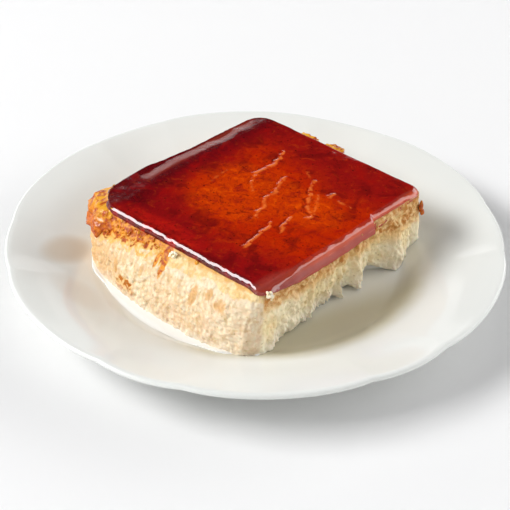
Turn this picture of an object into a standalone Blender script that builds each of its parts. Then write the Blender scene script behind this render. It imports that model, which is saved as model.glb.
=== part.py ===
"""Tres leches cake: a thick square slice under a caramel sheet, in its milk on a scalloped plate.

Metres, +Z up. The origin is the centre of the plate's foot ring, on the table. X runs along the
slice's shorter side and Y along its longer one. The cleanly cut side faces -Y and the torn side +X.
"""

import math

import bmesh
import bpy
from mathutils import Matrix, Vector, noise

# Meshes that touch keep this much room between them.
GAP = 0.0003

# Plate: a flat well, a curved wall up to the shoulder, and a wide rim with a scalloped edge.
PLATE_RADIUS = 0.097
RIM_HEIGHT = 0.020
FLOOR_RADIUS = 0.0575
FLOOR_HEIGHT = 0.007
SHOULDER_RADIUS = 0.065
SHOULDER_HEIGHT = 0.0106
FLOOR_SOFTNESS = 0.0025
RIM_SLOPE = (RIM_HEIGHT - SHOULDER_HEIGHT) / (PLATE_RADIUS - SHOULDER_RADIUS)
WALL_STEP = SHOULDER_HEIGHT - FLOOR_HEIGHT - RIM_SLOPE * (SHOULDER_RADIUS - FLOOR_RADIUS)
BASE_THICKNESS = 0.0040
RIM_THICKNESS = 0.0022
FOOT_HEIGHT = 0.0030
FOOT_OUTER_RADIUS = 0.0530
FOOT_INNER_RADIUS = 0.0485
FOOT_EDGE = 0.0005
FOOT_FLARE = 0.0015
PLATE_STEPS = 72

# Scallops: narrow petals alternate with wide ones all round the rim.
PETAL_PAIRS = 6
PETAL_TURN = math.radians(47)
NARROW_HALF = math.radians(10)
PAIR_HALF = math.pi / PETAL_PAIRS
SCALLOP_DEPTH = 0.0011
NARROW_RECESS = 0.0005
NARROW_SINK = 0.0006
PETAL_START = 0.070

# Slice: corners of the caramel's outline (x, y, radius), counter-clockwise from the far right one.
FAR_RIGHT = (0.0429, 0.0510, 0.0050)
FAR_LEFT = (-0.0458, 0.0508, 0.0110)
NEAR_LEFT = (-0.0484, -0.0426, 0.0130)
NEAR_RIGHT = (0.0427, -0.0426, 0.0030)
LEAST_CORNER_RADIUS = 0.0020
CORNER_STEPS = 4
SIDE_STEPS = (18, 20, 18, 20)

# Heights of the slice's layers.
SLICE_TOP = RIM_HEIGHT + 0.016
CARAMEL_THICKNESS = 0.0045
CARAMEL_FOOT = SLICE_TOP - CARAMEL_THICKNESS
SPONGE_TOP = CARAMEL_FOOT - GAP
SPONGE_FOOT = FLOOR_HEIGHT + GAP

# How far the soaked sponge spreads past the caramel at its foot, on each side.
SPREAD_FRONT = 0.0095
SPREAD_FRONT_ENDS = 0.0045
SPREAD_BACK = 0.0025
SPREAD_LEFT = 0.0014
SPREAD_CORNER = 0.0020
CORNER_REACH = 0.014
SPREAD_CURVE = 3.0
CRUMB_RELIEF = 0.0007
CRUMB_SCALE = 140.0

# The torn side stands back at its foot, with a hollow beside a lump that has slid outward.
TORN_INSET = 0.0022
TORN_RELIEF = 0.0012
TORN_SCALE = 260.0
LUMP_Y = 0.0355
LUMP_WIDTH = 0.0075
LUMP_REACH = 0.0068
HOLLOW_Y = 0.0235
HOLLOW_WIDTH = 0.0045
HOLLOW_HEIGHT = 0.0034
SPONGE_LEVELS = (0.0, 0.07, 0.18, 0.34, 0.52, 0.70, 0.84, 0.94, 1.0)
FOOT_INSET = 0.009

# Caramel: inset and height of each ring, from its underside over the rolled edge to the flat top.
CARAMEL_RINGS = (
    (0.0016, 0.0000),
    (0.0004, 0.0004),
    (0.0000, 0.0013),
    (0.0002, 0.0024),
    (0.0009, 0.0035),
    (0.0024, 0.0041),
    (0.0060, 0.0044),
    (0.0110, 0.0045),
)
CARAMEL_FALL = 0.0018
EDGE_WAVE = 0.0004
EDGE_WAVE_SCALE = 90.0

# Milk: a shallow pool that reaches the wall in front and narrows to a band round the other sides.
MILK_DEPTH = 0.0018
MILK_LEVEL = FLOOR_HEIGHT + MILK_DEPTH
MILK_LEAST_DEPTH = 0.0005
MILK_BAND = 0.0030
MILK_FRONT_REACH = 0.0160
MILK_LEAST_WIDTH = 0.0008


def ramp(value, softness):
    """0 below zero and the value above it, with the bend between them rounded."""
    if value <= -softness:
        return 0.0
    if value >= softness:
        return value
    return (value + softness) ** 2 / (4 * softness)


def ease(low, high, value):
    """Rises smoothly from 0 at low to 1 at high."""
    t = min(1.0, max(0.0, (value - low) / (high - low)))
    return t * t * (3 - 2 * t)


def bump(value, centre, width):
    """1 at the centre, falling away smoothly over the width on both sides."""
    return math.exp(-(((value - centre) / width) ** 2))


def plate_top(radius):
    """Height of the plate's upper face at this radius, before its petals."""
    slope = RIM_SLOPE * ramp(radius - FLOOR_RADIUS, FLOOR_SOFTNESS)
    wall = WALL_STEP * ease(FLOOR_RADIUS - FLOOR_SOFTNESS, SHOULDER_RADIUS, radius)
    return FLOOR_HEIGHT + slope + wall


def plate_underside(radius):
    """Height of the plate's lower face outside the foot ring."""
    thinning = ease(FLOOR_RADIUS, PLATE_RADIUS, radius)
    thickness = BASE_THICKNESS + (RIM_THICKNESS - BASE_THICKNESS) * thinning
    return max(FOOT_HEIGHT, plate_top(radius) - thickness)


def petal(angle):
    """(edge, sink): how far the edge draws in and the rim sinks, at an angle from a narrow petal."""
    pair = 2 * PAIR_HALF
    from_narrow = abs((angle + PAIR_HALF) % pair - PAIR_HALF)
    if from_narrow < NARROW_HALF:
        across = from_narrow / NARROW_HALF
        edge = NARROW_RECESS + (SCALLOP_DEPTH - NARROW_RECESS) * across**2
        return edge, NARROW_SINK * (1 - across**2)
    across = (PAIR_HALF - from_narrow) / (PAIR_HALF - NARROW_HALF)
    return SCALLOP_DEPTH * across**4, 0.0


def plate_profile():
    """Half section of the plate from the middle of its floor, over the lip and back under the foot ring."""
    lip = RIM_THICKNESS / 2
    lip_radius = PLATE_RADIUS - lip
    lip_height = plate_top(lip_radius) - lip
    inner = [0.0, 0.030, 0.050]
    wall = [FLOOR_RADIUS + (SHOULDER_RADIUS - FLOOR_RADIUS) * k / 4 for k in range(-1, 6)]
    rim = [SHOULDER_RADIUS + (lip_radius - SHOULDER_RADIUS) * k / 6 for k in range(2, 6)]
    points = [(r, plate_top(r)) for r in inner + wall + rim]
    for step in range(5):
        turn = math.pi / 2 - math.pi * step / 4
        points.append((lip_radius + lip * math.cos(turn), lip_height + lip * math.sin(turn)))
    foot_top = FOOT_OUTER_RADIUS + FOOT_FLARE
    points += [(r, plate_underside(r)) for r in reversed(rim[1:])]
    points += [(r, plate_underside(r)) for r in reversed(wall[2:])]
    points += [
        (foot_top, FOOT_HEIGHT),
        (FOOT_OUTER_RADIUS, FOOT_EDGE),
        (FOOT_OUTER_RADIUS - FOOT_EDGE, 0.0),
        (FOOT_INNER_RADIUS + FOOT_EDGE, 0.0),
        (FOOT_INNER_RADIUS, FOOT_EDGE),
        (FOOT_INNER_RADIUS - FOOT_FLARE, FOOT_HEIGHT),
        (0.0, FOOT_HEIGHT),
    ]
    return points


def finish_mesh(name, bm, material):
    """Turns a bmesh into a named object with its material."""
    bmesh.ops.recalc_face_normals(bm, faces=bm.faces)
    bmesh.ops.triangulate(bm, faces=bm.faces)
    mesh = bpy.data.meshes.new(name)
    bm.to_mesh(mesh)
    bm.free()
    mesh.materials.append(material)
    mesh.shade_smooth()
    mesh.set_sharp_from_angle(angle=math.radians(40))
    thing = bpy.data.objects.new(name, mesh)
    bpy.context.scene.collection.objects.link(thing)
    return thing


def make_material(name, colour, roughness, coat=0.0):
    material = bpy.data.materials.new(name)
    material.use_nodes = True
    shader = material.node_tree.nodes["Principled BSDF"]
    shader.inputs["Base Color"].default_value = (*colour, 1.0)
    shader.inputs["Roughness"].default_value = roughness
    shader.inputs["Coat Weight"].default_value = coat
    return material


def make_plate():
    """Spins the section round, then draws the rim in and down between the petals."""
    bm = bmesh.new()
    verts = [bm.verts.new((r, 0.0, z)) for r, z in plate_profile()]
    edges = [bm.edges.new(pair) for pair in zip(verts, verts[1:])]
    bmesh.ops.spin(
        bm,
        geom=verts + edges,
        cent=(0.0, 0.0, 0.0),
        axis=(0.0, 0.0, 1.0),
        angle=2 * math.pi,
        steps=PLATE_STEPS,
        use_merge=True,
    )
    bmesh.ops.remove_doubles(bm, verts=bm.verts, dist=1e-5)
    for vert in bm.verts:
        radius = vert.co.xy.length
        share = ease(PETAL_START, PLATE_RADIUS, radius)
        edge, sink = petal(math.atan2(vert.co.y, vert.co.x))
        if share > 0.0:
            vert.co.xy *= 1 - share * edge / radius
        vert.co.z -= sink * share
    bmesh.ops.rotate(bm, verts=bm.verts, cent=(0, 0, 0), matrix=Matrix.Rotation(PETAL_TURN, 3, "Z"))
    return finish_mesh("plate", bm, make_material("white_porcelain", (0.86, 0.86, 0.83), 0.12))


def side_normal(start, end):
    """Outward normal of the side that runs counter-clockwise from start to end."""
    along = (end - start).normalized()
    return Vector((along.y, -along.x, 0.0))


def outline(inset=0.0):
    """(point, outward normal) at each station round the slice, from the far right corner on."""
    marks = (FAR_RIGHT, FAR_LEFT, NEAR_LEFT, NEAR_RIGHT)
    corners = [Vector((x, y, 0.0)) for x, y, radius in marks]
    normals = [side_normal(corners[k - 1], corners[k]) for k in range(4)]
    stations = []
    for k, (x, y, radius) in enumerate(marks):
        before, after = normals[k], normals[(k + 1) % 4]
        kept = max(radius - inset, LEAST_CORNER_RADIUS)
        centre = corners[k] - (before + after) * (inset + kept) / (1 + before.dot(after))
        arc = [before.slerp(after, step / CORNER_STEPS) for step in range(CORNER_STEPS + 1)]
        stations.append([(centre + normal * kept, normal) for normal in arc])
    for k, steps in enumerate(SIDE_STEPS):
        start, normal = stations[k][-1]
        end = stations[(k + 1) % 4][0][0]
        stations[k] += [(start.lerp(end, step / steps), normals[(k + 1) % 4]) for step in range(1, steps)]
    return [station for corner in stations for station in corner]


def foot_spread(point, normal):
    """How far the sponge's foot stands outside the caramel's outline here."""
    middle = (NEAR_LEFT[0] + NEAR_RIGHT[0]) / 2
    across = (point.x - middle) / (NEAR_RIGHT[0] - middle)
    front = SPREAD_FRONT_ENDS + (SPREAD_FRONT - SPREAD_FRONT_ENDS) * (1 - across**4)
    torn = LUMP_REACH * bump(point.y, LUMP_Y, LUMP_WIDTH) - TORN_INSET
    sides = (
        (front, max(0.0, -normal.y)),
        (torn, max(0.0, normal.x)),
        (SPREAD_BACK, max(0.0, normal.y)),
        (SPREAD_LEFT, max(0.0, -normal.x)),
    )
    spread = sum(amount * weight**2 for amount, weight in sides)
    from_corner = math.hypot(point.x - NEAR_LEFT[0], point.y - NEAR_LEFT[1])
    return spread + SPREAD_CORNER * bump(from_corner, 0.0, CORNER_REACH)


def sponge_point(point, normal, share):
    """A point of the sponge's side at this share of its height."""
    spread = foot_spread(point, normal) * (1 - share**SPREAD_CURVE)
    height = SPONGE_FOOT + (SPONGE_TOP - SPONGE_FOOT) * share
    torn = max(0.0, normal.x) ** 2
    low = torn * bump(point.y, HOLLOW_Y, HOLLOW_WIDTH) * HOLLOW_HEIGHT * (1 - share)
    at = Vector((point.x, point.y, height))
    rough = CRUMB_RELIEF * (1 - torn) * noise.noise(at * CRUMB_SCALE)
    rough += TORN_RELIEF * torn * noise.noise(Vector((at.x, at.y, at.z * 0.4)) * TORN_SCALE)
    fade = ease(0.0, 0.2, 1 - share)
    placed = point + normal * (spread + rough * fade)
    placed.z = max(height, plate_top(placed.xy.length) + GAP) + low
    return placed


def add_ring(bm, points, closed=True):
    """Adds a chain of edges through the points and gives it back."""
    verts = [bm.verts.new(p) for p in points]
    pairs = list(zip(verts, verts[1:]))
    if closed:
        pairs.append((verts[-1], verts[0]))
    return [bm.edges.new(pair) for pair in pairs]


def loft(rings):
    """A closed shell through the rings, with both ends filled."""
    bm = bmesh.new()
    loops = [add_ring(bm, ring) for ring in rings]
    for lower, upper in zip(loops, loops[1:]):
        bmesh.ops.bridge_loops(bm, edges=lower + upper)
    bmesh.ops.holes_fill(bm, edges=loops[0])
    bmesh.ops.holes_fill(bm, edges=loops[-1])
    return bm


def make_sponge():
    """Lofts the soaked sponge from a flat patch under it up to the caramel."""
    patch = [Vector((point.x, point.y, SPONGE_FOOT)) for point, normal in outline(FOOT_INSET)]
    rings = [patch]
    for share in SPONGE_LEVELS:
        rings.append([sponge_point(point, normal, share) for point, normal in outline()])
    return finish_mesh("sponge", loft(rings), make_material("soaked_sponge", (0.80, 0.60, 0.36), 0.6))


def make_caramel():
    """Lofts the set caramel sheet: a rolled edge, a soft fall and a flat top."""
    rings = []
    for inset, height in CARAMEL_RINGS:
        ring = []
        for point, normal in outline(inset):
            wave = EDGE_WAVE * (noise.noise(point * EDGE_WAVE_SCALE) - 0.5)
            fall = CARAMEL_FALL * max(0.0, normal.x) ** 2 * height / CARAMEL_THICKNESS
            placed = point + normal * (wave - fall)
            placed.z = CARAMEL_FOOT + height
            ring.append(placed)
        rings.append(ring)
    return finish_mesh("caramel", loft(rings), make_material("set_caramel", (0.36, 0.03, 0.01), 0.08, 1.0))


def milk_limit():
    """The radius at which the pool is at its least depth against the wall."""
    radius = FLOOR_RADIUS - FLOOR_SOFTNESS
    while MILK_LEVEL - plate_top(radius) - GAP > MILK_LEAST_DEPTH:
        radius += 1e-4
    return radius


def milk_pools():
    """(side, inner bank, outer bank) of the pool on each side, between the corners that rest on the wall."""
    limit = milk_limit()
    pools = {}
    for point, normal in outline():
        if abs(normal.x) > abs(normal.y):
            side = "right" if normal.x > 0 else "left"
        else:
            side = "back" if normal.y > 0 else "front"
        feet = [sponge_point(point, normal, share) for share in SPONGE_LEVELS[:2]]
        near = max(feet, key=lambda foot: (foot - point).dot(normal)) + normal * 2 * GAP
        far = near + normal * (MILK_FRONT_REACH if side == "front" else MILK_BAND)
        if near.xy.length > limit - MILK_LEAST_WIDTH:
            continue
        if far.xy.length > limit:
            far.xy *= limit / far.xy.length
        inner, outer = pools.setdefault(side, ([], []))
        inner.append(near)
        outer.append(far)
    return [(side, inner, outer) for side, (inner, outer) in pools.items()]


def make_milk():
    """Bridges each pool's banks into a strip that lies on the plate, and extrudes it up to the level."""
    material = make_material("three_milks", (0.90, 0.87, 0.80), 0.15)
    for side, inner, outer in milk_pools():
        bm = bmesh.new()
        banks = add_ring(bm, inner, closed=False) + add_ring(bm, outer, closed=False)
        strip = bmesh.ops.bridge_loops(bm, edges=banks)["faces"]
        for vert in bm.verts:
            vert.co.z = plate_top(vert.co.xy.length) + GAP
        raised = bmesh.ops.extrude_face_region(bm, geom=strip)["geom"]
        for vert in raised:
            if isinstance(vert, bmesh.types.BMVert):
                vert.co.z = MILK_LEVEL
        finish_mesh("milk_" + side, bm, material)


def main():
    for thing in list(bpy.data.objects):
        bpy.data.objects.remove(thing)
    make_plate()
    make_milk()
    make_sponge()
    make_caramel()


main()
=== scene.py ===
"""Tres leches cake on a scalloped dessert plate: the looks of every piece, laid out as an add-on.

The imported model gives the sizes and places. Each operator makes one piece, or a group of like ones,
in metres and in the model's own frame: +Z up, the cut side towards -Y and the torn side towards +X.
"""

import math
import random

import bmesh
import bpy
from bpy.props import FloatProperty, FloatVectorProperty, IntProperty, PointerProperty
from bpy.types import Operator, Panel, PropertyGroup
from mathutils import Matrix, Vector, noise


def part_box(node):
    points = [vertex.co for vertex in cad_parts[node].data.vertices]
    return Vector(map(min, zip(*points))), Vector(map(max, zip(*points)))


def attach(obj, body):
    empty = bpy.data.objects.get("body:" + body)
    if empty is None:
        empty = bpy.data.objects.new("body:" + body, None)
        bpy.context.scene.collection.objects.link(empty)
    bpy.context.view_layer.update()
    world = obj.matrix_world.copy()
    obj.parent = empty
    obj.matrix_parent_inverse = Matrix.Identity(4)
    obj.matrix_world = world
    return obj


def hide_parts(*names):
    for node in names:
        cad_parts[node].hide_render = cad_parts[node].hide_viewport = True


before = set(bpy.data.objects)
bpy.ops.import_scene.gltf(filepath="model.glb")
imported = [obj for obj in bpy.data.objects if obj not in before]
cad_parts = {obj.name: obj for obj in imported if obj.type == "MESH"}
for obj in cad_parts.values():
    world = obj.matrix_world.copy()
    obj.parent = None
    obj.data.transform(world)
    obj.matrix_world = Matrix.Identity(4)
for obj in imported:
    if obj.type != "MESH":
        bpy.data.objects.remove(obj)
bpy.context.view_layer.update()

bl_info = {
    "name": "Tres Leches Cake",
    "version": (1, 0, 0),
    "blender": (4, 5, 0),
    "location": "3D View > Sidebar > Tres Leches",
    "description": "Makes a milk-soaked caramel cake on its plate, with its finishes, light and camera",
    "category": "Add Mesh",
}

MM = 0.001
MERGE = 0.01 * MM

PLATE_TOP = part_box("plate")[1].z
SPONGE_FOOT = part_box("sponge")[0].z
CARAMEL_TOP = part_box("caramel")[1].z
MILK_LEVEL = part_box("milk_front")[1].z
CONTACT = 0.3 * MM
FLOOR_HEIGHT = SPONGE_FOOT - CONTACT


# ---------------------------------------------------------------- settings


def length(name, description, default):
    about = {"name": name, "description": description}
    return FloatProperty(**about, default=default, unit="LENGTH", precision=5)


def number(name, description, default):
    return IntProperty(name=name, description=description, default=default, min=3)


def wattage(name, description, default):
    about = {"name": name, "description": description}
    return FloatProperty(**about, default=default, min=0, unit="POWER")


def lens(name, description, default):
    about = {"name": name, "description": description}
    return FloatProperty(**about, default=default, min=1, unit="CAMERA")


def corner(name, default):
    about = {"name": name, "description": "X, Y and radius of the corner"}
    return FloatVectorProperty(**about, default=default, size=3, precision=5, unit="LENGTH")


def colour(name, description, default):
    about = {"name": name, "description": description}
    return FloatVectorProperty(**about, default=default, size=3, min=0, max=1, subtype="COLOR")


class PlateSettings(PropertyGroup):
    radius: length("Radius", "From the middle to the outermost edge of the rim", 0.0968)
    floor_radius: length("Floor radius", "Where the flat floor of the well ends", 0.0575)
    shoulder_radius: length("Shoulder radius", "Where the wall of the well meets the rim", 0.0650)
    shoulder_height: length("Shoulder height", "Height of that shoulder above the table", 0.0106)
    lip: length("Lip", "Thickness of the rounded lip", 0.0022)
    base: length("Base", "Thickness of the floor of the well", 0.0040)
    foot_radius: length("Foot radius", "Outer radius of the foot ring", 0.0530)
    steps: number("Steps", "Facets round the plate", 360)
    glaze: colour("Glaze", "Colour of the white glaze", (0.81, 0.825, 0.795))


class SliceSettings(PropertyGroup):
    far_right: corner("Far right corner", (0.0429, 0.0510, 0.0050))
    far_left: corner("Far left corner", (-0.0447, 0.0513, 0.0105))
    near_left: corner("Near left corner", (-0.0484, -0.0426, 0.0130))
    near_right: corner("Near right corner", (0.0427, -0.0426, 0.0048))


class SpongeSettings(PropertyGroup):
    fine: number("Fine stations", "Columns of faces on the front and on the right", 320)
    plain: number("Plain stations", "Columns of faces on the back and on the left", 150)
    levels: number("Levels", "Rows of faces from foot to top", 84)
    lumps: length("Lumps", "Height of the soft lumps of the crumb", 0.0005)
    grain: length("Grain", "Height of the grains of the crumb", 0.0006)
    pores: length("Pores", "Depth of the larger pores", 0.0009)
    tears: length("Tears", "Depth of the furrows on the torn side", 0.0013)
    crumb: colour("Crumb", "Colour of the soaked crumb", (0.78, 0.57, 0.34))
    # The pale crumb is painted on the grain tops as a painted highlight.
    pale: colour("Pale crumb", "Colour of the tops of its grains", (0.87, 0.71, 0.48))
    torn: colour("Torn crumb", "Colour of the crumb inside the cake", (0.95, 0.79, 0.48))
    crust: colour("Crust", "Colour of the baked band under the caramel", (0.52, 0.20, 0.035))
    syrup: colour("Syrup", "Colour of the caramel that has run into the crumb", (0.42, 0.065, 0.002))


class CaramelSettings(PropertyGroup):
    cells: number("Cells", "Grid cells along each side of the top", 270)
    ridge: length("Ridge", "Height of the wrinkles in the skin", 0.00022)
    # Amber is partly the thin sheet's colour and partly painted glow of light coming back through it from
    # the crumb.
    amber: colour("Amber", "Colour where the sheet is thinnest", (0.57, 0.042, 0.0006))
    bright: colour("Bright", "Colour where the crumb glows through", (0.47, 0.020, 0.0006))
    deep: colour("Deep", "Colour where the sheet is deep", (0.245, 0.0040, 0.0050))
    maroon: colour("Maroon", "Colour along the left edge", (0.088, 0.0016, 0.0048))
    side: colour("Side", "Colour of the sheet's steep right side", (0.64, 0.075, 0.010))


class ScrapSettings(PropertyGroup):
    amber: colour("Amber", "Colour of the run caramel", (0.65, 0.17, 0.004))
    orange: colour("Orange", "Colour where it is thicker", (0.43, 0.065, 0.003))
    light: colour("Light", "Colour where it is thinnest", (0.80, 0.40, 0.03))
    clot: colour("Clot", "Colour of its dark clots", (0.20, 0.022, 0.004))


class MilkSettings(PropertyGroup):
    reach: length("Reach", "How far the pool may run from the cut side", 0.0043)
    band: length("Band", "Width of the milk round the other sides", 0.0026)
    film: length("Film", "Thickness of the milk that climbs the wall of the well", 0.0005)
    milk: colour("Milk", "Colour of the milk", (0.86, 0.85, 0.81))


class StageSettings(PropertyGroup):
    focal: lens("Focal length", "Camera lens in millimetres", 109.9)
    key: wattage("Key light", "Power of the soft light on the left", 60.5)
    panel: wattage("Back panel", "Power of the panel behind on the right", 37.0)


def settings():
    return bpy.context.scene.tres_leches


# ---------------------------------------------------------------- small maths


def ease(low, high, value):
    """Rises smoothly from 0 at low to 1 at high."""
    t = min(1.0, max(0.0, (value - low) / (high - low)))
    return t * t * (3 - 2 * t)


def bump(value, centre, width):
    """1 at the centre, falling away smoothly over the width on both sides."""
    return math.exp(-(((value - centre) / width) ** 2))


def ramp(value, softness):
    """0 below zero and the value above it, with the bend between them rounded."""
    if value <= -softness:
        return 0.0
    if value >= softness:
        return value
    return (value + softness) ** 2 / (4 * softness)


def cloud(point, size, octaves=3):
    """Smooth noise about 0 whose largest lumps are about this size."""
    return noise.fractal(point / size, 1.0, 2.0, octaves)


def pits(point, size, share):
    """1 in the middle of a pit and 0 outside it, for pits scattered a size apart."""
    nearest = noise.voronoi(point / size)[0][0]
    return max(0.0, 1 - nearest / share) ** 2


# ---------------------------------------------------------------- meshes


def linked(name, data):
    """A new object of the scene."""
    made = bpy.data.objects.new(name, data)
    bpy.context.scene.collection.objects.link(made)
    return made


def smooth_object(name, bm, material):
    """Turns a bmesh into a smooth object with one material."""
    mesh = bpy.data.meshes.new(name)
    bm.to_mesh(mesh)
    bm.free()
    mesh.materials.append(material)
    mesh.shade_smooth()
    return linked(name, mesh)


def add_piece(name, bm, material, replaces=()):
    """Turns a bmesh into a finished piece that rides on the model's body."""
    bmesh.ops.recalc_face_normals(bm, faces=bm.faces)
    piece = smooth_object(name, bm, material)
    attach(piece, "root")
    if replaces:
        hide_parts(*replaces)


def extruded(bm, edges):
    """Extrudes a ring of edges where it lies and gives back (new edges, new verts)."""
    made = bmesh.ops.extrude_edge_only(bm, edges=edges)["geom"]
    ring = [part for part in made if isinstance(part, bmesh.types.BMEdge)]
    verts = [part for part in made if isinstance(part, bmesh.types.BMVert)]
    return ring, verts


def spun(bm, profile, steps):
    """Spins an open profile of (radius, height) points a full turn about Z and closes its seam."""
    verts = [bm.verts.new((radius, 0, height)) for radius, height in profile]
    edges = [bm.edges.new(pair) for pair in zip(verts, verts[1:])]
    turn = {"cent": (0, 0, 0), "axis": (0, 0, 1), "angle": 2 * math.pi, "use_merge": True}
    bmesh.ops.spin(bm, geom=verts + edges, steps=steps, **turn)
    bmesh.ops.remove_doubles(bm, verts=bm.verts, dist=MERGE)


def ragged_ball(bm, place, half, rough, lump, subdivisions, turn=0.0):
    """Adds an icosphere with these half sizes, turned in degrees about Z, its surface roughened."""
    shaped = Matrix.Rotation(math.radians(turn), 4, "Z") @ Matrix.Diagonal((*half, 1.0))
    matrix = Matrix.Translation(place) @ shaped
    made = bmesh.ops.create_icosphere(bm, subdivisions=subdivisions, radius=1.0, matrix=matrix)
    for vert in made["verts"]:
        vert.co = place + (vert.co - place) * (1 + rough * cloud(vert.co, lump, 2))


# ---------------------------------------------------------------- the slice's outline


def corners():
    shape = settings().slice
    return shape.far_right, shape.far_left, shape.near_left, shape.near_right


def side_normals():
    """Outward normal of the side that leads to each corner, counter-clockwise."""
    marks = [Vector((x, y, 0)) for x, y, radius in corners()]
    normals = []
    for k in range(4):
        along = (marks[k] - marks[k - 1]).normalized()
        normals.append(Vector((along.y, -along.x, 0)))
    return normals


class Outline:
    """The slice's outline at one inset. A station's whole part is its side and the rest runs along it,
    from the middle of one corner's arc to the middle of the next: back, left, front and right."""

    LEAST_RADIUS = 2.0 * MM

    def __init__(self, inset=0.0):
        self.sides = []
        normals = side_normals()
        marks = corners()
        for k in range(4):
            ends = []
            for turn in (k, (k + 1) % 4):
                x, y, radius = marks[turn]
                before, after = normals[turn], normals[(turn + 1) % 4]
                kept = max(radius - inset, self.LEAST_RADIUS)
                centre = Vector((x, y, 0)) - (before + after) * (inset + kept) / (1 + before.dot(after))
                ends.append((centre, kept, before.angle(after) / 2))
            self.sides.append((ends, normals[(k + 1) % 4]))

    def at(self, station):
        """(point, outward normal) at a station from 0 to 4."""
        side = int(station) % 4
        (first, second), normal = self.sides[side]
        start = first[0] + normal * first[1]
        end = second[0] + normal * second[1]
        arc_in, arc_out = first[1] * first[2], second[1] * second[2]
        run = (end - start).length
        along = (station - int(station)) * (arc_in + run + arc_out)
        if along < arc_in:
            turned = Matrix.Rotation((along - arc_in) / first[1], 3, "Z") @ normal
            return first[0] + turned * first[1], turned
        if along <= arc_in + run:
            return start.lerp(end, (along - arc_in) / run), normal
        turned = Matrix.Rotation((along - arc_in - run) / second[1], 3, "Z") @ normal
        return second[0] + turned * second[1], turned


# ---------------------------------------------------------------- finishes


class Wire:
    """A socket that takes part in arithmetic: each expression adds its Math nodes."""

    def __init__(self, nodes, socket):
        self.nodes = nodes
        self.socket = socket

    def __add__(self, other):
        return self.nodes.math("ADD", self, other)

    def __sub__(self, other):
        return self.nodes.math("SUBTRACT", self, other)

    def __rsub__(self, other):
        return self.nodes.math("SUBTRACT", other, self)

    def __mul__(self, other):
        return self.nodes.math("MULTIPLY", self, other)

    def __truediv__(self, other):
        return self.nodes.math("DIVIDE", self, other)

    def __rtruediv__(self, other):
        return self.nodes.math("DIVIDE", other, self)

    def __pow__(self, other):
        return self.nodes.math("POWER", self, other)

    def __abs__(self):
        return self.nodes.math("ABSOLUTE", self, 0.0)

    __radd__ = __add__
    __rmul__ = __mul__


class Nodes:
    """Adds nodes to a tree and feeds their sockets."""

    def __init__(self, tree):
        self.tree = tree

    def feed(self, socket, value):
        if isinstance(value, Wire):
            self.tree.links.new(value.socket, socket)
        elif hasattr(socket.default_value, "__len__") and len(socket.default_value) == 4:
            socket.default_value = (*value[:3], 1.0)
        else:
            socket.default_value = value

    def node(self, kind, setup=None, sockets=None, output=0):
        """Adds a node, sets it up, feeds its sockets and gives back one output."""
        node = self.tree.nodes.new(kind)
        for name, value in (setup or {}).items():
            setattr(node, name, value)
        for name, value in (sockets or {}).items():
            self.feed(node.inputs[name], value)
        return Wire(self, node.outputs[output])

    def math(self, operation, first, second):
        return self.node("ShaderNodeMath", {"operation": operation}, {0: first, 1: second})

    def rise(self, value, low, high):
        """0 at low and 1 at high, with a smooth step between. A low above the high turns it round."""
        sockets = {"Value": value, "From Min": low, "From Max": high}
        return self.node("ShaderNodeMapRange", {"interpolation_type": "SMOOTHSTEP"}, sockets)

    def mix(self, share, first, second):
        """Blends two colours."""
        sockets = {0: share, 6: first, 7: second}
        return self.node("ShaderNodeMix", {"data_type": "RGBA"}, sockets, output=2)


class Finish(Nodes):
    """A material under construction, whose colour is painted on layer by layer. The ends of a rise over
    an axis are places in metres, and over noise they are shares of it."""

    def __init__(self, name, **constants):
        self.material = bpy.data.materials.new(name)
        self.material.use_nodes = True
        super().__init__(self.material.node_tree)
        self.shader = self.tree.nodes["Principled BSDF"]
        self.set_up(constants)
        self.place = self.node("ShaderNodeTexCoord", output="Object")
        self.colour = None

    def set_up(self, inputs):
        for socket, value in inputs.items():
            self.feed(self.shader.inputs[socket.replace("_", " ")], value)

    def axis(self, name):
        """One axis of the object's own coordinates."""
        return self.node("ShaderNodeSeparateXYZ", {}, {"Vector": self.place}, output=name)

    def attribute(self, name):
        """A float attribute of the mesh."""
        return self.node("ShaderNodeAttribute", {"attribute_name": name}, output="Fac")

    def stretched(self, scale):
        """Object coordinates, scaled along each axis."""
        return self.node("ShaderNodeMapping", {}, {"Vector": self.place, "Scale": scale})

    def speckle(self, scale, detail=2.0, roughness=0.5, distortion=0.0, vector=None):
        """Cloudy noise from 0 to 1. The scale is in lumps to the metre."""
        sockets = {"Vector": vector or self.place, "Scale": scale, "Detail": detail}
        sockets.update({"Roughness": roughness, "Distortion": distortion})
        return self.node("ShaderNodeTexNoise", {}, sockets)

    def cells(self, scale):
        """Distance to the nearest of scattered points."""
        return self.node("ShaderNodeTexVoronoi", {}, {"Vector": self.place, "Scale": scale})

    def relief(self, height, distance, strength, over=None):
        """A bump, over another one if given."""
        sockets = {"Height": height, "Distance": distance, "Strength": strength}
        if over is not None:
            sockets["Normal"] = over
        return self.node("ShaderNodeBump", {}, sockets)

    def paint(self, share, tone):
        """Lays a tone over the colour, as thickly as the share says."""
        self.colour = self.mix(share, self.colour, tone)

    def done(self, **inputs):
        self.set_up({"Base_Color": self.colour, **inputs})
        return self.material


def ellipse(across, up, middle, half):
    """0 in the middle of an ellipse and 1 on its outline."""
    return ((across - middle[0]) / half[0]) ** 2.0 + ((up - middle[1]) / half[1]) ** 2.0


# Painted on the glaze: warm painted shade round the well on the torn side, where the cake shades it, and
# spots of painted reflection of the cake on the left of the well, as middle, half size, fade, share and
# tone.
WELL_SHADE_PAINT = (0.56, 0.53, 0.40)
CAKE_REFLECTION_SPOTS = (
    ((-0.0525, -0.0510), (0.009, 0.012), (1.3, 0.1), 0.70, (0.60, 0.50, 0.38)),
    ((-0.0270, -0.0670), (0.014, 0.007), (1.6, 0.0), 0.30, (0.68, 0.56, 0.44)),
)
FAINTLY_DARKER = 0.97


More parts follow.
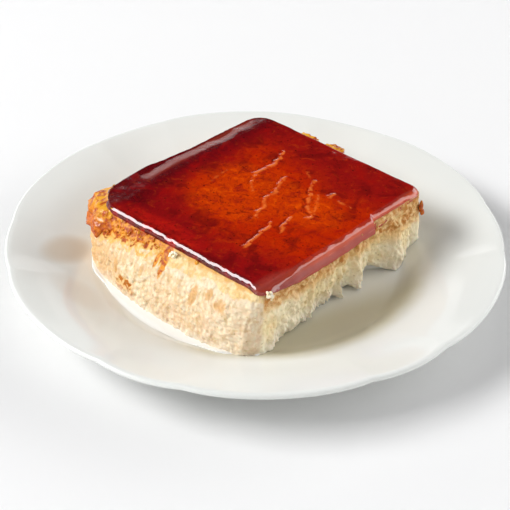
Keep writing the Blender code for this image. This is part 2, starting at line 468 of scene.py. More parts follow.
def glaze_finish():
    """White porcelain glaze with a faint grey-green cast, warm painted shade in the well on the torn side
    and painted reflections of the cake on the left.
    """
    look = Finish("white_glaze", IOR=1.5)
    tone = settings().plate.glaze
    cloudy = look.speckle(35.0, detail=3.0)
    look.colour = look.mix(cloudy, tone, [part * FAINTLY_DARKER for part in tone])
    x, y = look.axis("X"), look.axis("Y")
    away = (x**2.0 + y**2.0) ** 0.5 + (look.speckle(60.0) - 0.5) * 0.004
    # Warm painted shade of the cake in the well on the torn side.
    torn_half = look.rise(x * 0.94 - y * 0.34, 0.030, 0.048)
    look.paint(look.rise(away, 0.0710, 0.0610) * torn_half, WELL_SHADE_PAINT)
    # Spots of painted reflection of the cake on the glaze.
    for middle, half, (edge, core), share, stain in CAKE_REFLECTION_SPOTS:
        look.paint(look.rise(ellipse(x, y, middle, half), edge, core) * share, stain)
    ripple = look.relief(look.speckle(28.0, detail=2.0), 0.00025, 0.35)
    return look.done(Roughness=0.07 + cloudy * 0.04, Normal=ripple)


class SpongeFinish(Finish):
    """Soaked crumb: grainy cream at the cut, yellower where torn, browned and stained under the caramel."""

    TAN = (0.80, 0.50, 0.29)
    TOAST = (0.75, 0.44, 0.18)
    CREAM = (0.86, 0.72, 0.54)
    STRAW = (0.84, 0.62, 0.30)
    IVORY = (0.99, 0.88, 0.64)
    MILKY = (1.0, 0.93, 0.72)
    # Painted highlight on the grain tops, painted shade at their feet and in the pores.
    LIT_GRAIN_TOP = (0.95, 0.85, 0.66)
    SHADED_GRAIN_FOOT = (0.66, 0.44, 0.20)
    PORE_SHADE = (0.46, 0.30, 0.12)
    PALE_SKIN = (0.88, 0.76, 0.57)
    SKIN_DIP = (0.80, 0.52, 0.20)
    SKIN_TOP = (0.88, 0.67, 0.35)
    SKIN_EDGE = (0.70, 0.32, 0.05)
    STAIN_FRINGE = (0.84, 0.47, 0.10)
    STAIN_THIN = (0.74, 0.28, 0.020)
    STAIN_CLOT = (0.20, 0.030, 0.003)
    BAKED = (0.78, 0.46, 0.15)
    SPOT_RIM = (0.82, 0.49, 0.16)
    SPOT_CORE = (0.48, 0.14, 0.012)
    MARK = (0.66, 0.34, 0.10)
    WETTED = (0.93, 0.84, 0.70)

    # Marks on the cut side: middle across and up, half size, and share where there is one.
    RUNS = (((-0.0022, 0.0280), (0.0014, 0.0042)), ((-0.0062, 0.0285), (0.0009, 0.0024)))
    SPOT = ((-0.0188, 0.0128), (0.0050, 0.0036))
    MARKS = (
        ((-0.0250, 0.0190), (0.0012, 0.0030), 1.0),
        ((0.0150, 0.0245), (0.0015, 0.0032), 1.0),
        ((0.0275, 0.0255), (0.0026, 0.0022), 1.0),
        ((-0.0165, 0.0095), (0.0036, 0.0018), 0.6),
        ((0.0215, 0.0270), (0.0014, 0.0018), 1.0),
        ((-0.0110, 0.0235), (0.0010, 0.0026), 0.6),
    )

    def __init__(self):
        inputs = {"Subsurface_Weight": 0.10, "Subsurface_Scale": 0.003, "Specular_IOR_Level": 0.15}
        super().__init__("soaked_crumb", **inputs)
        self.tones = settings().sponge
        self.x, self.y, self.z = self.axis("X"), self.axis("Y"), self.axis("Z")
        self.patchy = self.speckle(70.0, detail=4.0)
        self.drift = self.patchy - 0.5
        self.fine = self.speckle(650.0, detail=4.0, roughness=0.65)
        self.grains = self.cells(620.0)
        self.pebbles = self.speckle(330.0, detail=3.0, roughness=0.6)
        self.blotch = self.speckle(420.0, detail=4.0, distortion=0.6)
        beyond = self.x + self.y + (0.033 - self.z) * 0.10 + self.drift * 0.003
        self.torn = self.rise(self.x, 0.028, 0.032) * self.rise(beyond, -0.0008, 0.0012)
        self.cut = self.rise(self.y, -0.038, -0.041) * (1.0 - self.torn)

    def blot(self, middle, half):
        """1 inside a ragged ellipse on the cut side and 0 outside it."""
        ragged = self.drift * 2.5 + (self.fine - 0.5) * 2.0
        away = ellipse(self.x, self.z, middle, half) + ragged
        return (1.0 - self.rise(away, 0.4, 1.4)) * self.cut

    def crumb(self):
        """The grainy cream of the cut side, with the pale crumb painted on the middles of the grains as
        their lit tops and the darker crumb between them as painted shade.
        """
        grainy = self.rise(self.grains + (self.fine - 0.5) * 0.6, 0.25, 0.65)
        self.colour = self.mix(grainy, self.tones.pale, self.tones.crumb)
        self.paint(self.rise(self.patchy, 0.42, 0.72) * 0.45, self.TAN)
        self.paint(self.rise(self.x + self.drift * 0.02, -0.016, -0.042) * 0.80, self.TOAST)
        self.paint(self.rise(self.x - self.z * 0.7, 0.000, 0.025) * 0.40, self.CREAM)

    def torn_crumb(self):
        """The inside of the cake, where the torn side shows it."""
        inside = self.mix(self.rise(self.fine, 0.40, 0.75), self.tones.torn, self.STRAW)
        inside = self.mix(self.rise(self.patchy, 0.38, 0.56) * 0.8, inside, self.IVORY)
        inside = self.mix(self.rise(self.z, 0.0170, 0.0100) * 0.5, inside, self.MILKY)
        self.paint(self.torn * 0.95, inside)

    def grain(self):
        """Painted highlight on the tops of the coarser grains, and painted shade at their feet and in the
        pores.
        """
        coarse = 0.55 * (1.0 - self.torn)
        self.paint(self.rise(self.pebbles, 0.50, 0.72) * coarse, self.LIT_GRAIN_TOP)
        self.paint(self.rise(self.pebbles, 0.46, 0.34) * coarse, self.SHADED_GRAIN_FOOT)
        pores = self.rise(self.cells(430.0), 0.20, 0.08) + self.rise(self.fine, 0.66, 0.80) * 0.6
        self.paint(pores * 0.50, self.PORE_SHADE)

    def skin(self):
        """The smooth skin under the caramel on the right of the cut side, pale at its foot."""
        ragged = self.drift * 0.006 + (self.speckle(260.0) - 0.5) * 0.006
        under = self.rise(self.x + self.drift * 0.006, -0.005, -0.001) * self.cut
        pale = self.rise(self.z + ragged, 0.0262, 0.0280) * under
        self.paint(pale * self.rise(self.fine, 0.30, 0.60) * 0.6, self.PALE_SKIN)
        skin = self.rise(self.z + ragged, 0.0291, 0.0302) * under
        tone = self.mix(self.rise(self.pebbles, 0.42, 0.60), self.SKIN_DIP, self.SKIN_TOP)
        self.paint(skin * self.rise(self.fine, 0.20, 0.50) * 0.9, tone)
        edge = self.rise(self.z + ragged * 0.5, 0.0319, 0.0330) * skin
        self.paint(edge * 0.70, self.SKIN_EDGE)

    def stain(self):
        """Caramel that has run into the crumb on the left, with a lighter fringe. Gives back its share."""
        limit = 0.0282 + (self.x + 0.025) * 0.085
        wetness = self.z - limit + self.drift * 0.010 + (self.blotch - 0.5) * 0.010
        reach = self.rise(self.x, -0.001, -0.004) * (1.0 - self.torn)
        run = sum(self.blot(*place) for place in self.RUNS)
        fringe = self.rise(wetness, -0.0034, 0.0004) * reach + run
        self.paint(self.rise(fringe, 0.0, 0.9) * 0.85, self.STAIN_FRINGE)
        stain = self.rise(self.rise(wetness, -0.0008, 0.0018) * reach + run * 0.8, 0.0, 0.9)
        syrup = self.mix(self.rise(self.blotch, 0.42, 0.60), self.STAIN_THIN, self.tones.syrup)
        syrup = self.mix(self.rise(self.blotch, 0.60, 0.74) * 0.6, syrup, self.STAIN_CLOT)
        self.paint(stain * (0.70 + self.fine * 0.6), syrup)
        return stain

    def baked_band(self):
        """The browned band under the caramel on the torn side, deeper away from the cut."""
        depth = self.rise(self.y, -0.032, -0.018) * -0.0035
        band = self.rise(self.z - (0.0240 + depth) + self.drift * 0.012, -0.002, 0.003) * self.torn
        self.paint(band * (0.45 + self.pebbles * 0.5), self.BAKED)
        height = self.z - (0.0262 + depth * 0.8) + self.drift * 0.014
        dark = self.rise(height, -0.002, 0.003) * self.torn
        self.paint(dark * 0.9 * self.rise(self.fine + self.pebbles, 0.80, 1.15), self.tones.crust)

    def marks(self):
        """Brown marks on the cut side."""
        brown = self.blot(*self.SPOT)
        self.paint(brown * 0.7, self.SPOT_RIM)
        self.paint(brown * self.rise(self.blotch, 0.46, 0.60), self.SPOT_CORE)
        marks = sum(self.blot(middle, half) * share for middle, half, share in self.MARKS)
        self.paint(marks * 0.7, self.MARK)

    def finished(self):
        self.crumb()
        self.torn_crumb()
        self.grain()
        self.skin()
        stain = self.stain()
        self.baked_band()
        self.marks()
        wet = self.rise(self.z + self.drift * 0.004, MILK_LEVEL + 0.005, MILK_LEVEL)
        self.paint(wet * 0.5, self.WETTED)
        height = self.fine * (1.0 - stain * 0.85) + self.blotch * stain * 0.20
        fine_relief = self.relief(height, 0.0004, 0.7)
        height = (1.0 - self.grains) * (1.0 - stain * 0.9)
        relief = self.relief(height, 0.0004, 0.6, over=fine_relief)
        shine = self.rise(stain + wet * 0.8, 0.0, 1.0)
        return self.done(Roughness=0.60 - shine * 0.26, Normal=relief)


class CaramelFinish(Finish):
    """Set caramel: glowing where it is thin over the middle, deep towards its edges, with fine flecks."""

    FRONT_GLOW = (0.46, 0.009, 0.005)
    GOLD = (0.80, 0.095, 0.001)
    GRIT = (0.10, 0.003, 0.002)
    SMOKE = (0.09, 0.002, 0.003)
    CLEAR = (0.36, 0.004, 0.002)
    FLECK = (0.05, 0.003, 0.001)
    # Dark threads in the sugar; the same tone is the painted shade in the wrinkles' furrows.
    THREAD_AND_FURROW_SHADE = (0.12, 0.006, 0.001)
    # Painted highlight on the wrinkles' ridges.
    RIDGE_HIGHLIGHT = (0.78, 0.15, 0.022)
    BRINK = (0.060, 0.001, 0.0022)
    SLOPE_REFLECTION = (0.24, 0.030, 0.018)
    SIDE_FOOT = (0.40, 0.040, 0.018)
    SIDE_STREAK_SHEEN = (0.70, 0.22, 0.12)
    SIDE_CORNER = (0.19, 0.012, 0.016)
    EDGE_REFLECTION = (0.40, 0.085, 0.060)

    # The two thin places over the middle, where the amber is painted as glow through the thin sheet, as
    # ellipses: middle and half size.
    THIN = (((-0.006, 0.0), (0.025, 0.020)), ((0.019, 0.008), (0.016, 0.013)))

    def __init__(self):
        super().__init__("set_caramel", IOR=1.6)
        self.tones = settings().caramel
        self.x, self.y, self.z = self.axis("X"), self.axis("Y"), self.axis("Z")
        self.cloudy = self.speckle(34.0, detail=4.0, distortion=0.5)
        self.drift = (self.cloudy - 0.5) * 0.028

    def depth(self):
        """The colour that comes from how deep the sheet is, with painted glow where the crumb shows through
        the thin middle and along the front edge. Gives back the share of thin amber.
        """
        x, y, drift = self.x, self.y, self.drift
        left = self.rise(x + drift, -0.036, -0.018)
        front = self.rise(y + drift, -0.037, -0.017) * self.rise(x + y + drift, -0.056, -0.030)
        far = 1.0 - self.rise(y + x * 0.18 + drift, 0.018, 0.042) * 0.85
        self.colour = self.mix(left * front * far, self.tones.deep, self.tones.bright)
        patches = (self.cloudy - 0.5) * 1.8
        first, second = (self.rise(ellipse(x, y, *place) + patches, 0.15, 1.25) for place in self.THIN)
        amber = 1.0 - first * second
        self.paint(amber * 0.9, self.tones.amber)
        corner = self.rise(x + y + drift * 0.6, -0.070, -0.050)
        edge = 1.0 - self.rise(x + drift * 0.4, -0.039, -0.025) * corner
        self.paint(edge * 0.9, self.tones.maroon)
        # Painted red glow just behind the front edge.
        middle = self.rise(abs(x + 0.011 + drift), 0.028, 0.014)
        self.paint(self.rise(y + drift * 0.3, -0.0325, -0.0370) * middle * 0.75, self.FRONT_GLOW)
        return amber

    def burnt_sugar(self, amber):
        """Mottling, smoke, grit, flecks and threads in the depth of the sheet."""
        mottle = self.speckle(260.0, detail=5.0, roughness=0.7, distortion=0.8)
        smoke = self.speckle(110.0, detail=3.0, roughness=0.6, distortion=0.6)
        grit = self.speckle(620.0, detail=3.0, roughness=0.7)
        self.paint(self.rise(mottle, 0.48, 0.68) * 0.65, self.tones.deep)
        self.paint(self.rise(mottle, 0.47, 0.30) * (0.15 + amber * 0.50), self.GOLD)
        self.paint(self.rise(grit, 0.55, 0.72) * 0.5, self.GRIT)
        haze = self.rise(smoke, 0.48, 0.66) * (1.0 - amber * 0.8)
        self.paint(haze * 0.50, self.SMOKE)
        self.paint(self.rise(smoke, 0.46, 0.32) * 0.35 * (1.0 - amber), self.CLEAR)
        flecks = self.rise(self.cells(460.0), 0.20, 0.10) * self.rise(self.speckle(210.0), 0.46, 0.56)
        dust = self.rise(self.cells(1000.0), 0.22, 0.10) * self.rise(self.speckle(90.0), 0.42, 0.58)
        self.paint(flecks * 0.8 + dust * 0.6, self.FLECK)
        swirl = abs(self.speckle(150.0, detail=2.0, distortion=2.0) - 0.5)
        broken = self.rise(self.speckle(260.0), 0.48, 0.60)
        threads = self.rise(swirl, 0.034, 0.006) * amber * broken
        self.paint(threads * 0.65, self.THREAD_AND_FURROW_SHADE)

    def wrinkles(self):
        """Painted highlights on the ridges beside painted shade in the furrows. Gives back the share of
        ridge.
        """
        ridge = self.attribute("wrinkle") * self.rise(self.speckle(420.0), 0.28, 0.50)
        self.paint(self.rise(self.attribute("furrow"), 0.3, 0.9) * 0.6, self.THREAD_AND_FURROW_SHADE)
        self.paint(self.rise(ridge, 0.06, 0.60) * 0.85, self.RIDGE_HIGHLIGHT)
        return ridge

    def edges(self):
        """The dark brink along the cut, a painted grey reflection along the slope on the left, the steep
        face of the torn side with painted pink streaks of reflection, and a painted pinkish reflection over
        the top beside that edge.
        """
        x, y, z, drift = self.x, self.y, self.z, self.drift
        ragged = self.rise(self.speckle(320.0), 0.30, 0.55)
        brink = self.rise(y + drift * 0.2, -0.0395, -0.0418) * ragged
        self.paint(brink * 0.8, self.BRINK)
        # Painted grey reflection along the slope on the left, laid over the rendered one.
        slope = self.rise(abs(x + 0.0418 + drift * 0.04), 0.0034, 0.0012) * self.rise(y, -0.022, -0.014)
        self.paint(slope * self.rise(y, 0.046, 0.040) * 0.7, self.SLOPE_REFLECTION)
        streaks = self.speckle(1.0, detail=3.0, vector=self.stretched((900.0, 90.0, 900.0)))
        side = self.rise(z + (streaks - 0.5) * 0.0012, 0.0357, 0.0342) * self.rise(x, 0.036, 0.0405)
        low = self.rise(z + (streaks - 0.5) * 0.002, 0.0345, 0.0318)
        face = self.mix(low, self.tones.side, self.SIDE_FOOT)
        # The side's striations, painted pink as a painted reflection.
        face = self.mix(self.rise(streaks, 0.58, 0.72) * 0.4, face, self.SIDE_STREAK_SHEEN)
        face = self.mix(self.rise(y + drift, -0.014, -0.034) * 0.65, face, self.SIDE_CORNER)
        self.paint(side * 0.9, face)
        # Painted pinkish reflection over the top near the torn edge.
        reach = 0.0412 - self.rise(y, -0.018, -0.036) * 0.0040
        film = self.rise(x - reach + drift * 0.05, -0.0022, 0.0022) * self.rise(y, 0.004, -0.020)
        self.paint(film * (1.0 - side) * (0.15 + streaks * 0.6), self.EDGE_REFLECTION)

    def finished(self):
        amber = self.depth()
        self.burnt_sugar(amber)
        ridge = self.wrinkles()
        self.edges()
        ripple = self.relief(self.speckle(150.0, detail=2.0), 0.0004, 0.14)
        brushed = self.rise(self.x, -0.034, -0.038) * self.rise(self.z, 0.0345, 0.0352)
        return self.done(Roughness=0.045 + brushed * 0.13 + ridge * 0.20, Normal=ripple)


def syrup_finish():
    """Run caramel in thin folds, lobes and drops: yellow where thin, brown where thick, with dark clots."""
    look = Finish("amber_caramel", IOR=1.42)
    tones = settings().scraps
    patchy = look.speckle(300.0, detail=4.0, distortion=1.0)
    thin = look.rise(look.axis("Z") + (patchy - 0.5) * 0.010, 0.027, 0.034)
    look.colour = look.mix(look.rise(patchy, 0.38, 0.58), tones.amber, tones.orange)
    look.paint(thin * look.rise(patchy, 0.62, 0.42) * 0.9, tones.light)
    look.paint(look.rise(patchy, 0.62, 0.70) * 0.75, tones.clot)
    ripple = look.relief(look.speckle(360.0, detail=2.0), 0.0005, 0.5)
    return look.done(Roughness=0.11, Normal=ripple)


def loose_crumb_finish():
    """Pale loose crumb, yellower in its dips."""
    look = Finish("loose_crumb", Subsurface_Weight=0.15, Subsurface_Scale=0.002)
    fine = look.speckle(900.0, detail=4.0)
    look.colour = look.mix(look.rise(fine, 0.35, 0.7), (0.97, 0.89, 0.72), (0.90, 0.72, 0.45))
    return look.done(Roughness=0.45, Normal=look.relief(fine, 0.0004, 0.7))


def milk_finish():
    """Sweet milk that thins out over the glaze at the edge of the pool."""
    look = Finish("sweet_milk", Specular_IOR_Level=0.3)
    tone = settings().milk.milk
    look.colour = look.mix(look.speckle(90.0), tone, [part * FAINTLY_DARKER for part in tone])
    thin = look.rise(look.attribute("thin") + (look.speckle(120.0) - 0.5) * 0.6, 0.1, 0.9)
    look.paint(thin * 0.9, settings().plate.glaze)
    return look.done(Roughness=0.15 - thin * 0.06)


def sweep_finish():
    """Matt pale floor."""
    look = Finish("studio_sweep")
    look.colour = look.mix(look.speckle(3.0), (0.86, 0.86, 0.86), (0.84, 0.84, 0.84))
    return look.done(Roughness=0.9)


# ---------------------------------------------------------------- plate


FLOOR_BEND = 2.5 * MM


def plate_top(radius):
    """Height of the plate's upper face at this radius, before its petals."""
    shape = settings().plate
    slope = (PLATE_TOP - shape.shoulder_height) / (shape.radius - shape.shoulder_radius)
    step = shape.shoulder_height - FLOOR_HEIGHT - slope * (shape.shoulder_radius - shape.floor_radius)
    rise = slope * ramp(radius - shape.floor_radius, FLOOR_BEND)
    wall = step * ease(shape.floor_radius - FLOOR_BEND, shape.shoulder_radius, radius)
    return FLOOR_HEIGHT + rise + wall


class MESH_OT_tres_leches_plate(Operator):
    """Spins the glazed plate and draws its rim into petals"""

    bl_idname = "mesh.tres_leches_plate"
    bl_label = "Plate"

    # Narrow petals draw in, sink and are dished; the wide ones between them are crowned.
    PETAL_PAIRS = 6
    PETAL_TURN = math.radians(47)
    NARROW_HALF = math.radians(10)
    SCALLOP = 1.1 * MM
    RECESS = 0.5 * MM
    SINK = 0.6 * MM
    DISH = 0.8 * MM
    CROWN = 0.7 * MM
    FLAT_RIM = 5 * MM
    # The section's points: radii on the floor, and how many on the wall, the rim and the lip.
    FLOOR_STEPS = (0.0, 0.02, 0.04, 0.05)
    WALL_STEPS = 12
    RIM_STEPS = 16
    LIP_STEPS = 12
    FOOT_WIDTH = 4.5 * MM
    FOOT_HEIGHT = 3.0 * MM
    # One face of the foot ring, downwards: how far it stands out, and its height.
    FOOT_FACE = ((1.5 * MM, FOOT_HEIGHT), (0.3 * MM, 1.4 * MM), (0.0, 0.5 * MM), (-0.5 * MM, 0.0))

    def petal(self, angle):
        """How far the edge draws in, the rim sinks and the rim's middle sinks further, at an angle."""
        half = math.pi / self.PETAL_PAIRS
        away = abs((angle + half) % (2 * half) - half)
        if away < self.NARROW_HALF:
            across = away / self.NARROW_HALF
            edge = self.RECESS + (self.SCALLOP - self.RECESS) * across**2
            return edge, self.SINK * (1 - across**2), self.DISH * (1 - across**2)
        across = (half - away) / (half - self.NARROW_HALF)
        return self.SCALLOP * across**4, 0.0, -self.CROWN * (1 - across**2)

    def underside(self, radius):
        shape = settings().plate
        thinning = ease(shape.floor_radius, shape.radius, radius)
        thickness = shape.base + (shape.lip - shape.base) * thinning
        return max(self.FOOT_HEIGHT, plate_top(radius) - thickness)

    def profile(self):
        """Half section from the middle of the floor, over the lip and back under the foot ring."""
        shape = settings().plate
        lip = shape.lip / 2
        lip_radius = shape.radius - lip
        lip_height = plate_top(lip_radius) - lip
        wall = shape.shoulder_radius - shape.floor_radius
        top = list(self.FLOOR_STEPS)
        top += [shape.floor_radius + wall * k / self.WALL_STEPS for k in range(-5, self.WALL_STEPS + 4)]
        edge = shape.shoulder_radius + FLOOR_BEND
        top += [edge + (lip_radius - edge) * k / self.RIM_STEPS for k in range(1, self.RIM_STEPS)]
        points = [(r, plate_top(r)) for r in top]
        for step in range(self.LIP_STEPS + 1):
            turn = math.pi / 2 - math.pi * step / self.LIP_STEPS
            points.append((lip_radius + lip * math.cos(turn), lip_height + lip * math.sin(turn)))
        outer = shape.foot_radius
        inner = outer - self.FOOT_WIDTH
        points += [(r, self.underside(r)) for r in reversed(top) if r > outer + FLOOR_BEND]
        points += [(outer + out, height) for out, height in self.FOOT_FACE]
        points += [(inner - out, height) for out, height in reversed(self.FOOT_FACE)]
        points.append((0.0, self.FOOT_HEIGHT))
        return points

    def execute(self, context):
        shape = settings().plate
        bm = bmesh.new()
        spun(bm, self.profile(), shape.steps)
        for vert in bm.verts:
            radius = vert.co.xy.length
            share = ease(shape.shoulder_radius + self.FLAT_RIM, shape.radius, radius)
            if share > 0:
                edge, sink, dish = self.petal(math.atan2(vert.co.y, vert.co.x))
                vert.co.xy *= 1 - share * edge / radius
                vert.co.z -= sink * share + dish * 4 * share * (1 - share)
        turn = Matrix.Rotation(self.PETAL_TURN, 3, "Z")
        bmesh.ops.rotate(bm, verts=bm.verts, cent=(0, 0, 0), matrix=turn)
        add_piece("glazed_plate", bm, glaze_finish(), ["plate"])
        return {"FINISHED"}


# ---------------------------------------------------------------- sponge


class SpongeSide:
    """The side of the soaked sponge, as points at a station of the outline and a share of its height."""

    # How far the foot of each side stands out. The front's is widest just right of its middle.
    SPREAD_FRONT = 12.3 * MM
    SPREAD_BACK = 2.5 * MM
    SPREAD_LEFT = 1.4 * MM
    SPREAD_CORNER = 1.4 * MM
    CORNER_REACH = 14 * MM
    WIDEST = 0.1
    LEFT_DROP = 8.5 * MM
    RIGHT_DROP = 6.5 * MM
    # How steeply the spread falls away with height, and how the near right corner shares it.
    CURVE = 3.0
    CORNER_CURVE = 1.5
    CORNER_POWER = 0.8
    # The belly of the left side, and the most that its formula reaches.
    LEFT_BELLY = 4.2 * MM
    BELLY_PEAK = 0.385
    TOP = 33.3 * MM
    TOP_INSET = 0.35 * MM
    TORN_INSET = 1.5 * MM
    # The torn side's overhang: how far under it the foot lies, and the share of the rows it takes.
    UNDERCUT = 5.0 * MM
    FOOT_SHARE = 0.10
    LEAST_SHARE = 0.0001
    FULL_HANG = 0.6 * MM
    OVER_PLATE = 0.1 * MM
    # What stands out from the torn side's foot: how far, its middle along Y and its half width.
    SPIKES = (
        (6.4 * MM, 0.0136, 0.0030),
        (4.4 * MM, 0.0036, 0.0013),
        (1.6 * MM, -0.0145, 0.0009),
        (1.4 * MM, -0.0045, 0.0008),
    )
    LUMP = ((9.0 * MM, 0.0350, 0.0068), (2.5 * MM, 0.0440, 0.0045))
    # Steps by which the foot draws in under the torn side: how far, and between which places on Y.
    DRAWN = ((2.0 * MM, -0.016, -0.009), (2.0 * MM, -0.001, 0.003))
    # Sizes of the crumb's lumps, grains, pores and tears.
    LUMP_SIZE = 4.5 * MM
    GRAIN_SIZE = 1.7 * MM
    FINE_SIZE = 0.75 * MM
    PORE_SIZE = 3.4 * MM
    TEAR_SIZE = 3.2 * MM

    def __init__(self):
        self.outline = Outline()
        marks = corners()
        self.near_left, self.near_right = marks[2], marks[3]

    def lift(self, y):
        """How far the torn side's ragged foot hangs above the well."""
        coarse, fine = Vector((y * 420, 3.1, 0)), Vector((y * 1100, 7.7, 0))
        ragged = noise.noise(coarse) + 0.4 * noise.noise(fine)
        open_stretch = ease(-0.030, -0.014, y) * ease(0.030, 0.022, y)
        hollow = 3.0 * MM * bump(y, 0.0245, 0.0040)
        return max(0.0, 2.2 * MM * (ragged + 0.35)) * open_stretch + hollow

    def torn_spread(self, y, along):
        """How far the torn side stands out, drawn in towards its foot but for its spikes and its lump."""
        corner = ease(-0.032, -0.0420, y)
        inward = 1.0 * MM - 4.0 * MM * corner
        inward += sum(amount * ease(start, stop, y) for amount, start, stop in self.DRAWN)
        spikes = sum(out * bump(y, middle, half) for out, middle, half in self.SPIKES)
        lump = sum(out * bump(y, middle, half) for out, middle, half in self.LUMP)
        low = 1 - along
        return lump * low**0.9 + spikes * low**1.5 - inward * low ** (1.3 - 0.7 * corner)

    def spread(self, point, normal, along):
        """How the side stands outside the caramel's outline here."""
        middle = (self.near_left[0] + self.near_right[0]) / 2
        across = (point.x - middle) / (self.near_right[0] - middle)
        off = across - self.WIDEST
        drop = self.RIGHT_DROP * off**3 if off > 0 else self.LEFT_DROP * off**2
        front = self.SPREAD_FRONT - drop
        fall = 1 - along ** (self.CURVE - self.CORNER_CURVE * ease(0.7, 1.0, across))
        belly = self.LEFT_BELLY * along * (1 - along**2) / self.BELLY_PEAK
        sides = (
            (front * fall, max(0.0, -normal.y)),
            (self.torn_spread(point.y, along) - self.TORN_INSET, max(0.0, normal.x)),
            (self.SPREAD_BACK * fall, max(0.0, normal.y)),
            (self.SPREAD_LEFT * fall + belly * ease(0.010, -0.030, point.y), max(0.0, -normal.x)),
        )
        spread = sum(amount * weight**2 for amount, weight in sides)
        from_corner = math.hypot(point.x - self.near_left[0], point.y - self.near_left[1])
        spread += self.SPREAD_CORNER * fall * bump(from_corner, 0.0, self.CORNER_REACH)
        if normal.x > 0 > normal.y:
            ahead = sides[0][0] * (-normal.y) ** self.CORNER_POWER
            aside = sides[1][0] * normal.x**self.CORNER_POWER
            return Vector((aside, -ahead, 0)) - normal * self.TOP_INSET
        return normal * (spread - self.TOP_INSET)

    def smooth(self, station, share):
        """(point, normal, torn) of the side before its crumb."""
        point, normal = self.outline.at(station)
        torn = max(0.0, normal.x) ** 2
        foot = SPONGE_FOOT
        hang = self.lift(point.y) * torn
        below = self.FOOT_SHARE * min(1.0, hang / self.FULL_HANG) + self.LEAST_SHARE
        under = ease(0.0, below, share)
        rest = max(0.0, (share - below) / (1 - below))
        height = foot + hang * under + (self.TOP - foot - hang) * rest
        along = min(1.0, (height - foot) / (self.TOP - foot))
        undercut = self.UNDERCUT * (1 - under) * torn * ease(-0.041, -0.030, point.y)
        placed = point + self.spread(point, normal, along) - normal * undercut
        placed.z = max(height, plate_top(placed.xy.length) + self.OVER_PLATE)
        return placed, normal, torn

    def at(self, station, share):
        """A point of the finished side."""
        shape = settings().sponge
        placed, normal, torn = self.smooth(station, share)
        fade = ease(0.0, 0.012, share) * ease(0.0, 0.03, 1 - share)
        skin = ease(0.76, 0.86, share) * max(0.0, -normal.y) * ease(-0.006, 0.002, placed.x)
        calm = 1 - 0.45 * skin
        combed = ease(0.018, 0.030, placed.x) * max(0.0, -normal.y)
        grain = Vector((placed.x * (1 - 0.55 * combed), placed.y, placed.z * (1 + 0.5 * combed)))
        rough = shape.lumps * cloud(placed, self.LUMP_SIZE)
        rough += shape.grain * (0.55 - noise.voronoi(grain / self.GRAIN_SIZE)[0][0])
        rough += 0.4 * shape.grain * (0.5 - noise.voronoi(grain / self.FINE_SIZE)[0][0])
        rough -= shape.pores * pits(placed, self.PORE_SIZE, 0.42)
        upright = Vector((placed.x, placed.y, placed.z * 0.65))
        rough += shape.tears * torn * cloud(upright, self.TEAR_SIZE, 4)
        rough -= 0.8 * shape.pores * torn * pits(placed, self.TEAR_SIZE, 0.6)
        placed += normal * rough * fade * calm
        return placed


class MESH_OT_tres_leches_sponge(Operator):
    """Raises the soaked sponge from its foot, ring by ring, with the pores and tears of its sides"""

    bl_idname = "mesh.tres_leches_sponge"
    bl_label = "Sponge"

    FOOT_INSET = 9 * MM

    def execute(self, context):
        shape = settings().sponge
        side = SpongeSide()
        patch = Outline(self.FOOT_INSET)
        steps = (shape.plain, shape.plain, shape.fine, shape.fine)
        stations = [turn + k / count for turn, count in enumerate(steps) for k in range(count)]
        bm = bmesh.new()
        mark = bm.verts.layers.float.new("station")
        verts = bmesh.ops.create_circle(bm, segments=len(stations), radius=1.0)["verts"]
        for vert, station in zip(verts, stations):
            vert[mark] = station
            vert.co = patch.at(station)[0]
            vert.co.z = SPONGE_FOOT
        ring = list(bm.edges)
        bmesh.ops.holes_fill(bm, edges=ring)
        for level in range(shape.levels + 1):
            ring, verts = extruded(bm, ring)
            for vert in verts:
                vert.co = side.at(vert[mark], level / shape.levels)
        bmesh.ops.holes_fill(bm, edges=ring)
        add_piece("soaked_sponge", bm, SpongeFinish().finished(), ["sponge"])
        return {"FINISHED"}


# ---------------------------------------------------------------- caramel

# Wrinkles in the caramel's skin: points along each, in millimetres, and how strongly it stands.
WRINKLES = (
    (((-15.7, 33.0), (-13.4, 28.6), (-12.0, 22.4), (-12.7, 14.0)), 1.0),
    (((-12.3, 12.4), (-9.6, 7.4), (-5.1, 3.0)), 0.8),
    (((-2.3, 20.2), (-0.7, 13.6), (2.1, 8.0), (1.6, 2.4), (5.4, -2.0), (6.0, -7.6), (8.2, -10.0)), 0.8),
    (((7.7, 24.7), (10.4, 19.1), (13.8, 14.7), (17.7, 9.1), (22.7, 5.8), (22.4, 3.0)), 0.9),
    (((15.4, 18.0), (19.3, 12.4), (22.7, 6.9)), 0.6),
    (((19.3, 23.2), (19.3, 19.7)), 0.7),
    (((23.8, 19.7), (29.9, 19.1)), 0.6),
    (((17.7, -0.9), (18.8, -5.9), (22.1, -10.9)), 1.0),
    (((15.4, -8.1), (15.8, -14.2), (17.1, -19.8), (18.2, -27.0)), 1.15),
    (((-22.9, 6.9), (-21.8, -2.0)), 0.4),
    (((1.5, 28.0), (5.0, 25.8)), 0.4),
)


